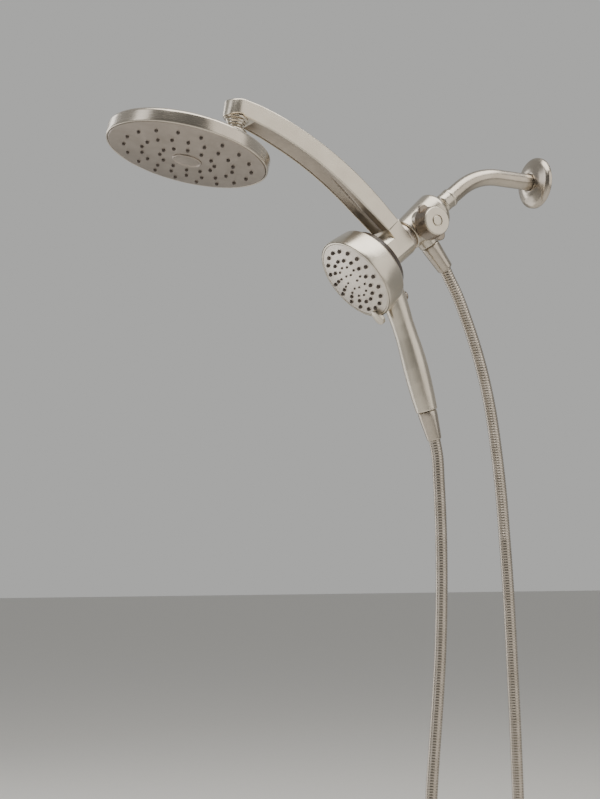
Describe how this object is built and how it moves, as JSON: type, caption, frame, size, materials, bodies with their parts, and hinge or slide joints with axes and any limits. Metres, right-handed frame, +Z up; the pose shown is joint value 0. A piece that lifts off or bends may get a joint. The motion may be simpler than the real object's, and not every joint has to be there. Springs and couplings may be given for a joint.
{
  "type": "two-in-one shower set with docked hand shower",
  "caption": "Wall shower set: bent pipe and flange, ball-jointed diverter, arched arm with a large flat head, docked hand shower and metal hose.",
  "frame": {"origin": "centre of the wall flange on the wall plane, where the supply pipe leaves the wall", "axes": "+Y into the wall, so the set stands out along -Y; +Z up; +X to the right when facing the wall, where the dial is"},
  "size_m": [0.191, 0.5939, 1.0016],
  "materials": {
    "satin_nickel_metal": "satin nickel plate over metal",
    "satin_nickel_shell": "satin nickel plate over moulded plastic",
    "dark_nickel": "dark satin nickel",
    "brass": "turned",
    "rubber_black": "matte",
    "nozzle_rubber": "soft matte",
    "bearing_white": "moulded",
    "trim_black": "gloss",
    "inner_plastic": "moulded",
    "magnet": "nickel coated",
    "hose_metal": "satin nickel steel wrap over rubber"
  },
  "bodies": {
    "wall_set": {"wall_flange": "satin_nickel_metal", "supply_pipe": "satin_nickel_metal", "ball_stem": "satin_nickel_metal", "stem_washer": "rubber_black"},
    "ball_ring": {"ball_seat": "bearing_white"},
    "diverter": {"diverter_body": "satin_nickel_metal", "ball_retainer": "satin_nickel_metal", "joint_ring": "dark_nickel", "arm_body": "satin_nickel_shell", "arm_duct": "satin_nickel_shell", "dock_magnet": "magnet", "swivel_post": "satin_nickel_metal", "upper_washer": "rubber_black"},
    "dial": {"dial_knob": "satin_nickel_shell", "dial_cap": "satin_nickel_shell", "dial_spindle": "brass"},
    "upper_nut": {"upper_hose_nut": "satin_nickel_metal"},
    "head_ring": {"head_seat": "bearing_white"},
    "rain_head": {"head_ball_nut": "satin_nickel_metal", "head_back_shell": "satin_nickel_shell", "head_face_plate": "satin_nickel_shell", "head_nozzle_mat": "nozzle_rubber", "head_medallion": "satin_nickel_shell", "head_chamber_plate": "inner_plastic"},
    "handset": {"hand_shell": "satin_nickel_shell", "hand_rear_ring": "trim_black", "hand_magnet_plate": "magnet", "lower_washer": "rubber_black", "hose_tube": "hose_metal"},
    "selector": {"spray_face_plate": "satin_nickel_shell", "spray_nozzle_mat": "nozzle_rubber", "selector_ring": "satin_nickel_shell", "valve_disc": "bearing_white"},
    "pause": {"pause_button": "satin_nickel_shell"},
    "lower_nut": {"lower_hose_nut": "satin_nickel_metal"}
  },
  "joints": [
    {"name": "ball_swing_x", "type": "hinge", "parent": "wall_set", "child": "ball_ring", "pos_m": [0, -0.167, -0.05978], "axis": [1, 0, 0], "range_deg": [-6, 6]},
    {"name": "ball_swing_side", "type": "hinge", "parent": "ball_ring", "child": "diverter", "pos_m": [0, -0.167, -0.05978], "axis": [0, -0.6428, 0.766], "range_deg": [-6, 6]},
    {"name": "dial_turn", "type": "hinge", "parent": "diverter", "child": "dial", "pos_m": [0, -0.18557, -0.07732], "axis": [1, 0, 0], "range_deg": [-60, 60]},
    {"name": "upper_nut_turn", "type": "hinge", "parent": "diverter", "child": "upper_nut", "pos_m": [0, -0.18653, -0.07617], "axis": [0, 0.6428, -0.766], "continuous": true},
    {"name": "head_swing_x", "type": "hinge", "parent": "diverter", "child": "head_ring", "pos_m": [0, -0.44111, 0.004], "axis": [1, 0, 0], "range_deg": [-7, 7]},
    {"name": "head_swing_side", "type": "hinge", "parent": "head_ring", "child": "rain_head", "pos_m": [0, -0.44111, 0.004], "axis": [0, -0.974, 0.2267], "range_deg": [-7, 7]},
    {"name": "handset_lift", "type": "slide", "parent": "diverter", "child": "handset", "axis": [0, -0.766, -0.6428], "range_m": [0, 0.15]},
    {"name": "selector_turn", "type": "hinge", "parent": "handset", "child": "selector", "pos_m": [0, -0.27608, -0.15131], "axis": [0, -0.766, -0.6428], "range_deg": [-60, 60]},
    {"name": "pause_press", "type": "slide", "parent": "handset", "child": "pause", "axis": [0, -0.9511, -0.309], "range_m": [0, 0.002], "stiffness_N_per_m": 900, "springref_m": -0.0008},
    {"name": "lower_nut_turn", "type": "hinge", "parent": "handset", "child": "lower_nut", "pos_m": [0, -0.174, -0.3065], "axis": [0, 0.2971, -0.9549], "continuous": true}
  ]
}
